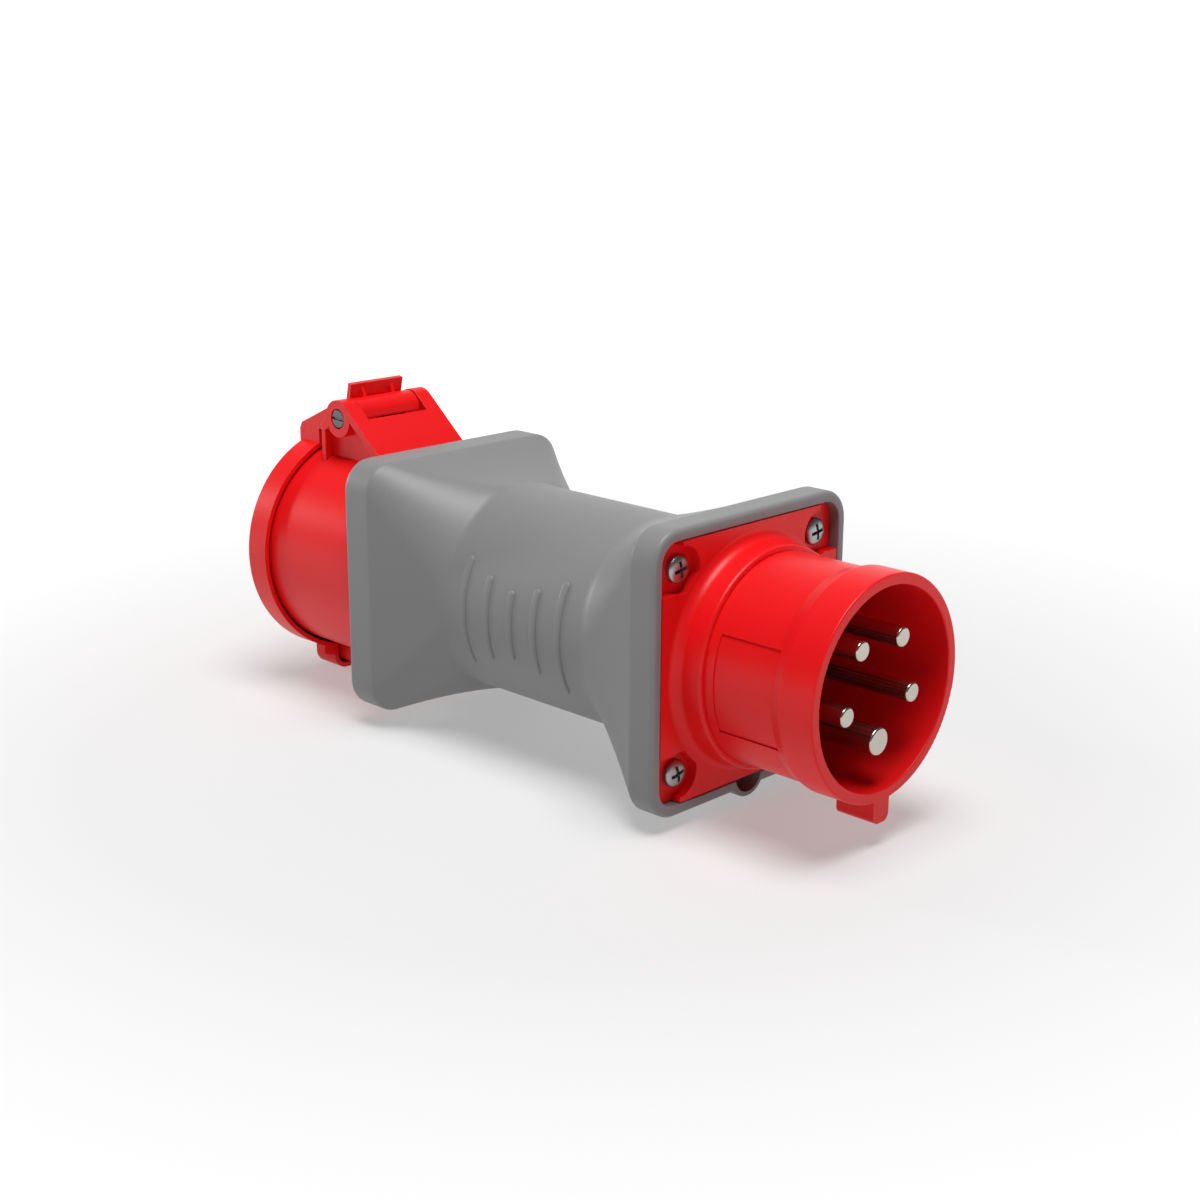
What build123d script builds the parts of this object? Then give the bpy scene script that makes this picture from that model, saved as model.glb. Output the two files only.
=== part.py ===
"""Pin and sleeve adapter: a five-pole plug and a lidded socket joined by one moulded housing.

The origin is the centre of the plug's mouth. +X leaves the plug along its axis and +Z is up, so the
housing, the socket and its lid lie at negative x. All sizes are in millimetres.
"""
from build123d import *
import os
from math import acos, atan2, cos, pi, radians, sin, sqrt

# Contacts: five on one circle, the earth at the bottom beside the key
pin_circle_r = 13.36
pole_step = 72.0
pin_r = 2.5
earth_pin_r = 3.5
pin_tip_setback = 1.34
pin_tip_round = 0.6
pin_shoulder = 0.6
pin_shoulder_setback = 0.4
pin_hole_clearance = 0.1

# Socket core, plug shroud and socket barrel, each sized from the one inside it
core_margin = 10.44
core_gap = 1.35
shroud_wall = 1.7
band_step = 1.15
socket_gap = 0.75
socket_wall = 2.89

# Plug shroud, measured back from its mouth
band_length = 9.5
band_ramp = 3.7
mouth_edge = 0.5
mouth_inner_edge = 0.4
band_round = 1.6
shroud_depth = 41.5
collar_step = 1.45
collar_length = 8.07
collar_edge = 1.0
collar_foot = 2.9
collar_land = 0.1

# Key under the plug's mouth, and the shallow label panels on the shroud's sides
key_width = 6.0
key_height = 5.5
key_length = 11.0
key_round = 2.0
label_start = 12.3
label_length = 18.2
label_half_angle = 27.0
label_depth = 0.35

# Square flanges: the rims of the housing and the plates set into them
plug_rim_x = -41.07
plug_rim_margin = 8.12
socket_rim_margin = 3.71
rim_corner_r = 8.3
rim_wall = 2.85
rim_edge = 1.2
plug_rim_depth = 7.6
socket_rim_depth = 9.9
plate_gap = 0.3
plate_setback = 0.2
plate_thick = 5.0
gasket_thick = 1.5
ledge_thick = 3.0

# Corner pockets and flange screws
plug_screw_inset = 7.24
socket_screw_inset = 6.47
pocket_r = 6.0
pocket_inset = 5.5
pocket_depth = 2.73
screw_head_r = 3.5
screw_head_thick = 2.2
screw_shank_r = 1.75
screw_length = 12.0
screw_hole_gap = 0.25
screw_thread_gap = 0.03
cross_width = 0.95
cross_length = 4.3
cross_depth = 1.3
boss_r = 4.4
boss_cover = 1.0

# Housing waist and flares
waist_margin = 0.81
waist_length = 52.05
housing_wall = 3.0
plug_flare_length = 23.63
socket_flare_length = 23.0
plug_flare_bow = 1.36
plug_flare_fan = 0.92
socket_flare_bow = 1.62
socket_flare_fan = 0.71
flare_sections = 6
flat_start = 6.0

# Grip ribs on both sides of the waist
rib_half_angles = (31.0, 23.5, 19.0, 23.5, 31.0)
rib_pitch = 8.9
rib_width = 2.5
rib_height = 0.45
rib_root = 0.6

# Half-round lug under the plug flange
lug_edge = 0.5
lug_r = 6.2
lug_wall = 1.3
lug_drop = 2.4
lug_depth = 7.0
lug_pocket_depth = 5.5

# Contact carriers
tail_length = 13.7
tail_clearance = 0.5
carrier_gap = 0.2
carrier_lip = 2.5
carrier_lip_thick = 2.5
core_setback = 3.2
core_edge = 0.8
core_wall = 1.6
core_flange_thick = 2.0
core_entry = 3.85
core_entry_gap = 0.35
socket_tail_step = 3.24
socket_tail_wall = 1.75
socket_tail_length = 8.0
socket_web = 2.5
carrier_flange_thick = 6.0

# Contact sleeves
sleeve_gap = 0.05
sleeve_wall = 1.05
sleeve_depth = 30.0
sleeve_end_gap = 0.15
sleeve_floor_gap = 0.5
slit_width = 0.8
slit_length = 22.0
sleeve_hole_gap = 0.15

# Terminals, their screws and the wires
terminal_r = 4.2
earth_terminal_r = 5.0
terminal_length = 12.0
wire_hole_r = 1.4
wire_hole_depth = 9.0
terminal_screw_r = 1.75
terminal_screw_setback = 5.0
terminal_screw_stand = 0.4
terminal_screw_gap = 0.05
terminal_slot_width = 0.6
terminal_slot_depth = 0.8
wire_r = 1.95
core_wire_r = 1.1
wire_lead = 12.0
wire_bow = 4.0
bend_share = 0.45

# Socket barrel, with its keyway
barrel_length = 42.95
keyway_gap = 0.4
keyway_floor_gap = 0.6
keyway_length = 15.0
cover_side_wall = 4.2
cover_floor_wall = 3.2
cover_round = 3.0
cover_length = 22.0

# Lid
lid_wall = 2.35
lid_side_wall = 1.34
lid_clearance = 0.86
lid_overlap = 3.0
lid_edge = 1.2
lid_panel_inset = 8.84
lid_panel_depth = 0.6
seal_thick = 3.5
seal_gap = 0.3
seal_inset = 0.3
seal_bore_gap = 0.6
lip_reach = 2.36
lip_half_width = 13.5
lip_thick = 2.6

# Hinge: its axis, measured from the socket's mouth, and the bracket that carries it
hinge_setback = 16.1
hinge_rise = 9.01
hinge_pin_r = 2.0
ear_hole_gap = 0.03
barrel_hole_gap = 0.1
ear_r = 5.4
bracket_half_width = 15.9
cheek_half_gap = 10.95
cheek_thick = 2.0
roof_slope = 40.0
roof_thick = 2.2
window_reach = 5.83
wall_back_setback = 10.1
wall_thick = 1.6
wall_top_drop = 5.65
wall_shoulder_drop = 2.45
ear_shoulder_rise = 2.35
ear_shoulder_reach = 4.05
bracket_root = 1.5
pin_head_r = 2.6
pin_head_thick = 1.0
pin_head_gap = 0.3
pin_head_recess = 0.15
pin_slot_width = 0.8
pin_slot_depth = 0.55
pin_tail_setback = 0.4

# The lid's arm, barrel and thumb tab
barrel_r = 5.2
barrel_end_gap = 0.35
arm_half_width = 12.7
arm_narrow_x = 8.9
arm_slope = 25.0
arm_front_rise = 2.0
arm_front_round = 2.3
arm_rise = 3.1
tab_half_width = 9.6
tab_thick = 1.5
tab_base = (-2.2, 4.0)
tab_tip = (-1.1, 9.05)
tab_rib_place = 5.3
tab_rib_width = 1.0
tab_rib_reach = 2.5
tab_rib_top = 7.9

# Torsion spring on the hinge pin
spring_wire_r = 0.45
spring_coil_r = 3.0
spring_turns = 7
spring_pitch = 1.05
spring_pocket_r = 4.0
spring_pocket_half = 5.2
spring_leg_drop = 7.8
spring_leg_gap = 0.05
spring_tang = 1.8
spring_bend_r = 1.0
spring_tang_gap = 0.15
spring_slot_reach = 6.5

# How far a piece that joins a round wall is carried on into that wall
root_overlap = 1.0

poles = {"earth": -90.0, "neutral": -90.0 + pole_step, "l1": -90.0 + 2 * pole_step,
         "l2": -90.0 + 3 * pole_step, "l3": -90.0 + 4 * pole_step}

# Radii and half widths, each worked out from the part that it goes round
core_r = pin_circle_r + core_margin
shroud_bore_r = core_r + core_gap
shroud_body_r = shroud_bore_r + shroud_wall
shroud_r = shroud_body_r + band_step
collar_r = shroud_body_r + collar_step
socket_bore_r = shroud_r + socket_gap
socket_r = socket_bore_r + socket_wall
socket_tail_r = socket_r - socket_tail_step
lid_r = socket_r + lid_clearance + lid_side_wall
lip_r = lid_r + lip_reach
waist_r = shroud_r + waist_margin
plug_rim_half = shroud_r + plug_rim_margin
socket_rim_half = socket_r + socket_rim_margin
plug_seat_half = plug_rim_half - rim_wall
socket_seat_half = socket_rim_half - rim_wall
plug_plate_half = plug_seat_half - plate_gap
socket_plate_half = socket_seat_half - plate_gap
plug_screw_place = plug_plate_half - plug_screw_inset
socket_screw_place = socket_plate_half - socket_screw_inset
half_keyway = key_width / 2 + keyway_gap
keyway_drop = shroud_r + key_height + keyway_floor_gap
cover_half_width = half_keyway + cover_side_wall
cover_drop = keyway_drop + cover_floor_wall
hinge_z = socket_r + hinge_rise
lug_centre_z = -plug_rim_half - lug_drop + lug_r

# Places along the axis, worked out from the sizes above
plate_x = plug_rim_x - plate_setback
plate_back_x = plate_x - plate_thick
plug_ledge_x = plate_back_x - gasket_thick
plug_flare_x = plug_rim_x - plug_rim_depth
waist_plug_x = plug_flare_x - plug_flare_length
waist_socket_x = waist_plug_x - waist_length
socket_flare_x = waist_socket_x - socket_flare_length
socket_rim_x = socket_flare_x - socket_rim_depth
socket_plate_x = socket_rim_x + plate_setback
socket_plate_back_x = socket_plate_x + plate_thick
socket_ledge_x = socket_plate_back_x + gasket_thick
socket_mouth_x = socket_rim_x - barrel_length
waist_mid_x = (waist_plug_x + waist_socket_x) / 2
plug_tail_x = plate_back_x - tail_length
plug_terminal_x = plug_tail_x - terminal_length
floor_x = socket_plate_x + socket_web / 2
web_back_x = floor_x + socket_web
socket_carrier_x = web_back_x + carrier_flange_thick
socket_terminal_x = socket_carrier_x + terminal_length
core_front_x = socket_mouth_x + core_setback
sleeve_mouth_x = core_front_x + core_entry + sleeve_end_gap
sleeve_floor_x = sleeve_mouth_x + sleeve_depth
lid_face_x = socket_mouth_x - seal_gap - seal_thick - lid_wall
lid_edge_x = socket_mouth_x + lid_overlap
hinge_x = socket_mouth_x + hinge_setback


def rod(radius, x_a, x_b, y=0.0, z=0.0):
    """A round bar along X from x_a to x_b."""
    return Pos((x_a + x_b) / 2, y, z) * Rot(0, 90, 0) * Cylinder(radius, abs(x_b - x_a))


def cross_rod(radius, y_a, y_b, x, z):
    """A round bar along Y from y_a to y_b."""
    return Pos(x, (y_a + y_b) / 2, z) * Rot(90, 0, 0) * Cylinder(radius, abs(y_b - y_a))


def block(x_span, y_span, z_span):
    """A box between two values on each axis."""
    spans = (x_span, y_span, z_span)
    middle = [sum(span) / 2 for span in spans]
    return Pos(*middle) * Box(*[abs(span[1] - span[0]) for span in spans])


def turned(points, rounds=()):
    """A solid of revolution about the axis from (x, radius) points, with some corners rounded."""
    face = make_face(Polyline(*points, close=True))
    for x, radius, round_r in rounds:
        corner = face.vertices().sort_by_distance((x, radius, 0))[0]
        face = fillet(corner, round_r)
    return revolve(Plane.XZ * face, axis=Axis.X)


def square_prism(half, corner_r, x_a, x_b):
    """A square bar with rounded edges along X."""
    face = Plane.YZ.offset(min(x_a, x_b)) * RectangleRounded(2 * half, 2 * half, corner_r)
    return extrude(face, amount=abs(x_b - x_a))


def rim_prism(half, front_x, back_x):
    """A flange's square rim with its outer front edge rounded."""
    prism = square_prism(half, rim_corner_r, front_x, back_x)
    ends = prism.faces().sort_by(Axis.X)
    front = ends[-1] if front_x > back_x else ends[0]
    return fillet(front.edges(), rim_edge)


def side_prism(points, y_a, y_b):
    """A plate across the axis from (x, z) points, between two values of y."""
    face = make_face(Polyline(*points, close=True))
    return extrude(Plane.XZ.offset(-max(y_a, y_b)) * face, amount=abs(y_b - y_a))


def bulge(half_width, drop, corner_r, x_a, x_b):
    """A bar along X from the axis down to drop, with its two lower edges rounded."""
    bar = block((x_a, x_b), (-half_width, half_width), (-drop, -socket_bore_r / 2))
    lower = bar.edges().filter_by(Axis.X).group_by(Axis.Z)[0]
    return fillet(lower, corner_r)


def pole_place(angle):
    """The (y, z) place of a pole on the contact circle."""
    return pin_circle_r * cos(radians(angle)), pin_circle_r * sin(radians(angle))


def corners():
    """The (y, z) signs of a flange's four corners."""
    return [(side, level) for side in (1, -1) for level in (1, -1)]


def keep_one(shape):
    """The single solid of a finished piece."""
    solids = shape.solids()
    return solids[0] if len(solids) == 1 else shape


def flare_outline(x, half, corner_r, is_waist):
    """Closed outline across the axis: four corner arcs joined by flats, or by arcs of a circle."""
    edges = []
    for quarter in range(4):
        base = quarter * pi / 2
        lead = radians(flat_start) if is_waist else 0.0
        reach = 0.0 if is_waist else half - corner_r
        radius = half if is_waist else corner_r
        centre_y = reach * (cos(base) - sin(base))
        centre_z = reach * (cos(base) + sin(base))
        turns = [base + lead, base + pi / 4, base + pi / 2 - lead]
        arc = [(x, centre_y + radius * cos(a), centre_z + radius * sin(a)) for a in turns]
        edges.append(Edge.make_three_point_arc(*arc))
        ahead = base + pi / 2
        if is_waist:
            tips = [(x, half * cos(a), half * sin(a)) for a in (ahead, ahead + lead)]
            edges.append(Edge.make_three_point_arc(arc[2], *tips))
        else:
            next_y = reach * (cos(ahead) - sin(ahead)) + radius * cos(ahead)
            next_z = reach * (cos(ahead) + sin(ahead)) + radius * sin(ahead)
            edges.append(Edge.make_line(arc[2], (x, next_y, next_z)))
    return Face(Wire(edges))


def flare(waist_x, flange_x, flange_half, bow, fan, inset):
    """The flare between the round waist and a square flange, inset all round by a wall."""
    outlines = []
    for number in range(flare_sections):
        share = number / (flare_sections - 1)
        half = waist_r + (flange_half - waist_r) * share ** bow
        corner_r = waist_r + (rim_corner_r - waist_r) * share ** fan
        x = waist_x + (flange_x - waist_x) * share
        outlines.append(flare_outline(x, half - inset, corner_r - inset, number == 0))
    return loft(outlines)


def housing_envelope():
    """The housing's outer form with no hollow: rims, flares and waist."""
    body = rod(waist_r, waist_plug_x, waist_socket_x)
    body += flare(waist_plug_x, plug_flare_x, plug_rim_half, plug_flare_bow, plug_flare_fan, 0.0)
    body += flare(waist_socket_x, socket_flare_x, socket_rim_half, socket_flare_bow,
                  socket_flare_fan, 0.0)
    body += rim_prism(plug_rim_half, plug_rim_x, plug_flare_x)
    body += rim_prism(socket_rim_half, socket_rim_x, socket_flare_x)
    return body


def housing_hollow():
    """The room inside the housing between the two ledges."""
    room = rod(waist_r - housing_wall, waist_plug_x, waist_socket_x)
    room += flare(waist_plug_x, plug_flare_x, plug_rim_half, plug_flare_bow, plug_flare_fan,
                  housing_wall)
    room += flare(waist_socket_x, socket_flare_x, socket_rim_half, socket_flare_bow,
                  socket_flare_fan, housing_wall)
    room += square_prism(socket_rim_half - housing_wall, rim_corner_r - housing_wall,
                         socket_flare_x, socket_ledge_x)
    reach = max(plug_rim_half, socket_rim_half)
    across = (-reach, reach)
    inside = block((socket_ledge_x + ledge_thick, plug_ledge_x - ledge_thick), across, across)
    return room & inside


def grip_rib(x, half_angle, side):
    """A raised rib round one side of the waist, with rounded ends."""
    overall = 2 * waist_r * sin(radians(half_angle))
    slot = Plane.XZ * (Pos(x, 0) * SlotOverall(overall, rib_width, rotation=90))
    bar = extrude(slot, amount=-side * shroud_r * 2)
    x_span = (x - rib_width, x + rib_width)
    return bar & (rod(waist_r + rib_height, *x_span) - rod(waist_r - rib_root, *x_span))


def lug_bar(radius, x_a, x_b):
    """A half-round bar below the plug flange's edge."""
    return rod(radius, x_a, x_b, 0.0, lug_centre_z)


def lug():
    """The lug's outer form, with its front and back edges rounded."""
    bar = lug_bar(lug_r, plug_rim_x, plug_rim_x - lug_depth)
    return fillet(bar.edges().filter_by(GeomType.CIRCLE), lug_edge)


def add_bosses(body, envelope, ledge_x, seat_x, direction, screw_place):
    """The four screw bosses behind a flange's ledge, kept inside the skin, with their holes."""
    tip_x = seat_x + direction * screw_length
    for side, level in corners():
        place = (side * screw_place, level * screw_place)
        body += envelope & rod(boss_r, ledge_x, tip_x + direction * boss_cover, *place)
        body -= rod(screw_shank_r + screw_thread_gap, ledge_x, tip_x, *place)
    return body


def make_housing():
    envelope = housing_envelope()
    body = envelope + lug()
    body -= housing_hollow()
    seat_corner_r = rim_corner_r - rim_wall
    body -= square_prism(plug_seat_half, seat_corner_r, plug_rim_x, plug_ledge_x)
    body -= square_prism(socket_seat_half, seat_corner_r, socket_rim_x, socket_ledge_x)
    body -= rod(shroud_body_r + tail_clearance, plug_ledge_x, plug_ledge_x - ledge_thick)
    body -= rod(socket_tail_r + tail_clearance, socket_ledge_x, socket_ledge_x + ledge_thick)
    body = add_bosses(body, envelope, plug_ledge_x, plate_x - pocket_depth, -1, plug_screw_place)
    body = add_bosses(body, envelope, socket_ledge_x, socket_plate_x + pocket_depth, 1,
                      socket_screw_place)
    for number, half_angle in enumerate(rib_half_angles):
        x = waist_mid_x + (number - (len(rib_half_angles) - 1) / 2) * rib_pitch
        for side in (1, -1):
            body += grip_rib(x, half_angle, side)
    pocket = lug_bar(lug_r - lug_wall, plug_rim_x, plug_rim_x - lug_pocket_depth)
    below = block((plug_rim_x, plug_rim_x - lug_pocket_depth), (-lug_r, lug_r),
                  (-plug_rim_half - lug_r, plate_gap - plug_rim_half + rim_wall))
    return keep_one(body - (pocket & below))


def flange_plate(half, screw_place, x_face, direction):
    """A square flange plate with its four corner pockets and screw holes."""
    x_back = x_face + direction * plate_thick
    corner_r = rim_corner_r - rim_wall - plate_gap
    plate = square_prism(half, corner_r, x_face, x_back)
    floor = x_face + direction * pocket_depth
    for side, level in corners():
        y, z = side * screw_place, level * screw_place
        pocket = rod(pocket_r, x_face, floor, y, z)
        pocket += block((x_face, floor), (y, side * half), (level * (screw_place - pocket_inset),
                                                            level * half))
        plate -= pocket
        plate -= rod(screw_shank_r + screw_hole_gap, x_face, x_back, y, z)
    return plate


def label_recess(side):
    """The shallow panel for a label on one side of the shroud."""
    outer = shroud_body_r + label_depth
    ring = rod(outer, -label_start, -label_start - label_length)
    ring -= rod(shroud_body_r - label_depth, -label_start, -label_start - label_length)
    half_height = shroud_body_r * sin(radians(label_half_angle))
    window = block((-label_start, -label_start - label_length), (0, side * outer),
                   (-half_height, half_height))
    return ring & window


def make_plug_insert():
    back_x = plug_tail_x
    collar_x = plate_x + collar_length
    foot_r = collar_r + collar_foot + collar_land
    lip_r = shroud_bore_r - carrier_lip
    lip_x = -shroud_depth - carrier_lip_thick
    outline = [(0, shroud_bore_r), (0, shroud_r), (-band_length, shroud_r),
               (-band_length - band_ramp, shroud_body_r), (collar_x, shroud_body_r),
               (collar_x, collar_r), (plate_x, collar_r), (plate_x, foot_r),
               (plate_x - plate_thick / 2, foot_r), (plate_back_x, shroud_body_r),
               (back_x, shroud_body_r), (back_x, shroud_bore_r), (lip_x, shroud_bore_r),
               (lip_x, lip_r), (-shroud_depth, lip_r), (-shroud_depth, shroud_bore_r)]
    rounds = [(0, shroud_bore_r, mouth_inner_edge), (0, shroud_r, mouth_edge),
              (-band_length, shroud_r, band_round),
              (-band_length - band_ramp, shroud_body_r, band_round),
              (collar_x, collar_r, collar_edge), (plate_x, collar_r, collar_foot)]
    body = turned(outline, rounds)
    plate = flange_plate(plug_plate_half, plug_screw_place, plate_x, -1)
    body += plate - rod(collar_r, plate_x, plate_back_x)
    key_drop = shroud_r + key_height
    key = block((0, -key_length), (-key_width / 2, key_width / 2), (-key_drop, root_overlap - shroud_body_r))
    key = fillet(key.edges().filter_by(Axis.X).group_by(Axis.Z)[0], key_round)
    body += key - rod(shroud_bore_r + shroud_wall / 2, 0, -key_length)
    for side in (1, -1):
        body -= label_recess(side)
    return keep_one(body)


def make_gasket(half, screw_place, hole_r, x_a, x_b):
    gasket = square_prism(half, rim_corner_r - rim_wall - plate_gap, x_a, x_b)
    gasket -= rod(hole_r, x_a, x_b)
    for side, level in corners():
        gasket -= rod(screw_shank_r + screw_hole_gap, x_a, x_b, side * screw_place,
                      level * screw_place)
    return keep_one(gasket)


def flange_screw(seat_x, direction):
    """A cross-recessed screw whose head bears on seat_x and whose tip points along direction."""
    head_x = seat_x - direction * screw_head_thick
    tip_x = seat_x + direction * screw_length
    edge = screw_head_thick / 3
    profile = [(head_x, 0), (head_x, screw_head_r - edge), (head_x + direction * edge, screw_head_r),
               (seat_x, screw_head_r), (seat_x, screw_shank_r),
               (tip_x - direction * screw_shank_r, screw_shank_r), (tip_x, screw_shank_r / 3),
               (tip_x, 0)]
    screw = turned(profile)
    floor = head_x + direction * cross_depth
    half_length, half_width = cross_length / 2, cross_width / 2
    screw -= block((head_x, floor), (-half_length, half_length), (-half_width, half_width))
    screw -= block((head_x, floor), (-half_width, half_width), (-half_length, half_length))
    return screw


def flange_screws(seat_x, screw_place, direction):
    screw = flange_screw(seat_x, direction)
    places = [(side * screw_place, level * screw_place) for side, level in corners()]
    return Compound([Pos(0, y, z) * screw for y, z in places])


def pole_sizes(name):
    """A pole's pin radius and terminal radius."""
    if name == "earth":
        return earth_pin_r, earth_terminal_r
    return pin_r, terminal_r


def terminal_cuts(face_x, direction, angle, terminal):
    """The wire hole in a terminal's end, and its clamping screw's hole, at a pole's place."""
    y, z = pole_place(angle)
    cuts = rod(wire_hole_r, face_x, face_x - direction * wire_hole_depth, y, z)
    screw_x = face_x - direction * terminal_screw_setback
    hole = Cylinder(terminal_screw_r + screw_thread_gap, terminal,
                    align=(Align.CENTER, Align.CENTER, Align.MIN))
    out = Pos(screw_x, y, z) * Rot(90 - angle, 0, 0)
    return cuts + out * hole


def terminal_screw(face_x, direction, angle, terminal):
    """A slotted clamping screw that points out from the adapter's axis."""
    y, z = pole_place(angle)
    screw_x = face_x - direction * terminal_screw_setback
    foot = core_wire_r + terminal_screw_gap
    length = terminal + terminal_screw_stand - foot
    screw = Pos(0, 0, foot) * Cylinder(terminal_screw_r, length,
                                       align=(Align.CENTER, Align.CENTER, Align.MIN))
    slot = Pos(0, 0, foot + length) * Box(2 * terminal_screw_r, terminal_slot_width,
                                          2 * terminal_slot_depth)
    return Pos(screw_x, y, z) * Rot(90 - angle, 0, 0) * (screw - slot)


def make_pin(name):
    angle = poles[name]
    radius, terminal = pole_sizes(name)
    shoulder = radius + pin_shoulder
    shoulder_x = -shroud_depth - pin_shoulder_setback
    y, z = pole_place(angle)
    profile = [(-pin_tip_setback, 0), (-pin_tip_setback, radius), (shoulder_x, radius),
               (shoulder_x, shoulder), (plug_tail_x, shoulder), (plug_tail_x, terminal),
               (plug_terminal_x, terminal), (plug_terminal_x, 0)]
    rounds = [(-pin_tip_setback, radius, pin_tip_round)]
    pin = Pos(0, y, z) * turned(profile, rounds)
    return keep_one(pin - terminal_cuts(plug_terminal_x, -1, angle, terminal))


def make_sleeve(name):
    angle = poles[name]
    radius, terminal = pole_sizes(name)
    y, z = pole_place(angle)
    bore = radius + sleeve_gap
    outer = bore + sleeve_wall
    sleeve = rod(outer, sleeve_mouth_x, socket_carrier_x, y, z)
    sleeve += rod(terminal, socket_carrier_x, socket_terminal_x, y, z)
    sleeve -= rod(bore, sleeve_mouth_x, sleeve_floor_x, y, z)
    slit = block((sleeve_mouth_x, sleeve_mouth_x + slit_length), (-outer, outer),
                 (-slit_width / 2, slit_width / 2))
    sleeve -= Pos(0, y, z) * slit
    return keep_one(sleeve - terminal_cuts(socket_terminal_x, 1, angle, terminal))


def make_plug_carrier():
    lip_back_x = -shroud_depth - carrier_lip_thick
    body = rod(shroud_bore_r - carrier_lip - carrier_gap, -shroud_depth, lip_back_x)
    body += rod(shroud_bore_r - carrier_gap, lip_back_x, plug_tail_x)
    for name, angle in poles.items():
        radius, _ = pole_sizes(name)
        hole_r = radius + pin_shoulder + pin_hole_clearance
        body -= rod(hole_r, -shroud_depth, plug_tail_x, *pole_place(angle))
    return keep_one(body)


def make_socket_face():
    """The insulating front plate of the core, with an entry hole for each pin."""
    back_x = core_front_x + core_entry
    face = rod(core_r, core_front_x, back_x)
    face = fillet(face.edges().group_by(Axis.X)[0], core_edge)
    for name, angle in poles.items():
        radius, _ = pole_sizes(name)
        face -= rod(radius + core_entry_gap, core_front_x, back_x, *pole_place(angle))
    return keep_one(face)


def make_socket_core():
    """The insulating tube round the sleeves, with the flange that holds it in the socket."""
    flange_back_x = web_back_x + core_flange_thick
    body = rod(core_r, core_front_x + core_entry, flange_back_x)
    body += rod(socket_tail_r - socket_tail_wall - carrier_gap, web_back_x, flange_back_x)
    return keep_one(body - rod(core_r - core_wall, core_front_x + core_entry, flange_back_x))


def make_socket_carrier():
    flange_x = web_back_x + core_flange_thick
    body = rod(core_r - core_wall - carrier_gap, sleeve_floor_x + sleeve_floor_gap, flange_x)
    body += rod(socket_tail_r - socket_tail_wall - carrier_gap, flange_x, socket_carrier_x)
    for name, angle in poles.items():
        radius, _ = pole_sizes(name)
        outer = radius + sleeve_gap + sleeve_wall
        body -= rod(outer + sleeve_hole_gap, sleeve_floor_x, socket_carrier_x, *pole_place(angle))
    return keep_one(body)


def wire_route(angle):
    """The route of a wire between the two terminals, bowed gently outwards at its middle."""
    middle_x = (plug_terminal_x + socket_terminal_x) / 2
    run = (plug_terminal_x - socket_terminal_x) / 2 - wire_lead
    stations = [(plug_terminal_x, 0.0), (plug_terminal_x - wire_lead, 0.0), (middle_x, wire_bow),
                (socket_terminal_x + wire_lead, 0.0), (socket_terminal_x, 0.0)]
    points = []
    for x, bow in stations:
        radius = pin_circle_r + bow
        points.append((x, radius * cos(radians(angle)), radius * sin(radians(angle))))
    turn = atan2(wire_bow, run)
    end_bend = bend_share * wire_lead / sin(turn / 2) * cos(turn / 2)
    middle_bend = bend_share * sqrt(run ** 2 + wire_bow ** 2) / sin(turn) * cos(turn)
    return points, [end_bend, middle_bend, end_bend]


def make_wire(name):
    angle = poles[name]
    points, bends = wire_route(angle)
    path = FilletPolyline(*points, radius=bends)
    start = Plane(origin=points[0], z_dir=(-1, 0, 0))
    wire = sweep(start * Circle(wire_r), path=path)
    y, z = pole_place(angle)
    bare = wire_hole_depth - terminal_screw_gap
    wire += rod(core_wire_r, plug_terminal_x, plug_terminal_x + bare, y, z)
    wire += rod(core_wire_r, socket_terminal_x, socket_terminal_x - bare, y, z)
    return keep_one(wire), bends


def roof_point(along, out):
    """A point (x, z) of the hinge bracket's roof: along its slope, and out from the hinge axis."""
    slope = radians(roof_slope)
    x = hinge_x + along * cos(slope) + out * sin(slope)
    z = hinge_z - along * sin(slope) + out * cos(slope)
    return x, z


def make_bracket():
    """The hinge bracket: cross wall, two cheeks, sloped roof with its window, and two ears."""
    half = bracket_half_width
    wall_back_x = socket_mouth_x + wall_back_setback
    wall_x = wall_back_x - wall_thick
    slope = radians(roof_slope)
    low = sqrt(socket_r ** 2 - half ** 2) - bracket_root
    reach = (hinge_z + ear_r * cos(slope) - low) / sin(slope)
    wall_top = hinge_z - wall_top_drop
    wall_shoulder = hinge_z - wall_shoulder_drop
    roof = [roof_point(0, ear_r), roof_point(reach, ear_r), roof_point(reach, ear_r - roof_thick),
            roof_point(0, ear_r - roof_thick)]
    bracket = side_prism(roof, -half, half)
    bracket += block((wall_x, wall_back_x), (-half, half), (low, wall_top))
    cheek = [(wall_x, low), (wall_x, wall_top), (hinge_x, hinge_z), roof_point(0, ear_r - roof_thick),
             roof_point(reach, ear_r - roof_thick)]
    shoulder = [(wall_x, low), (wall_x, wall_shoulder),
                (hinge_x - ear_shoulder_reach, hinge_z + ear_shoulder_rise), (hinge_x, hinge_z),
                (wall_back_x, wall_shoulder - wall_thick), (wall_back_x, low)]
    for side in (1, -1):
        inner, outer = side * cheek_half_gap, side * half
        bracket += side_prism(cheek, inner, side * (cheek_half_gap + cheek_thick))
        bracket += side_prism(shoulder, inner, outer)
        bracket += cross_rod(ear_r, inner, outer, hinge_x, hinge_z)
    window = [roof_point(-ear_r, ear_r * 2), roof_point(window_reach, ear_r * 2),
              roof_point(window_reach, -ear_r), roof_point(-ear_r, -ear_r)]
    bracket -= side_prism(window, -cheek_half_gap, cheek_half_gap)
    bracket -= cross_rod(hinge_pin_r + ear_hole_gap, -half, half, hinge_x, hinge_z)
    head_depth = pin_head_thick + pin_head_recess
    bracket -= cross_rod(pin_head_r + pin_head_gap, -half, -half + head_depth, hinge_x, hinge_z)
    return bracket


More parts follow.
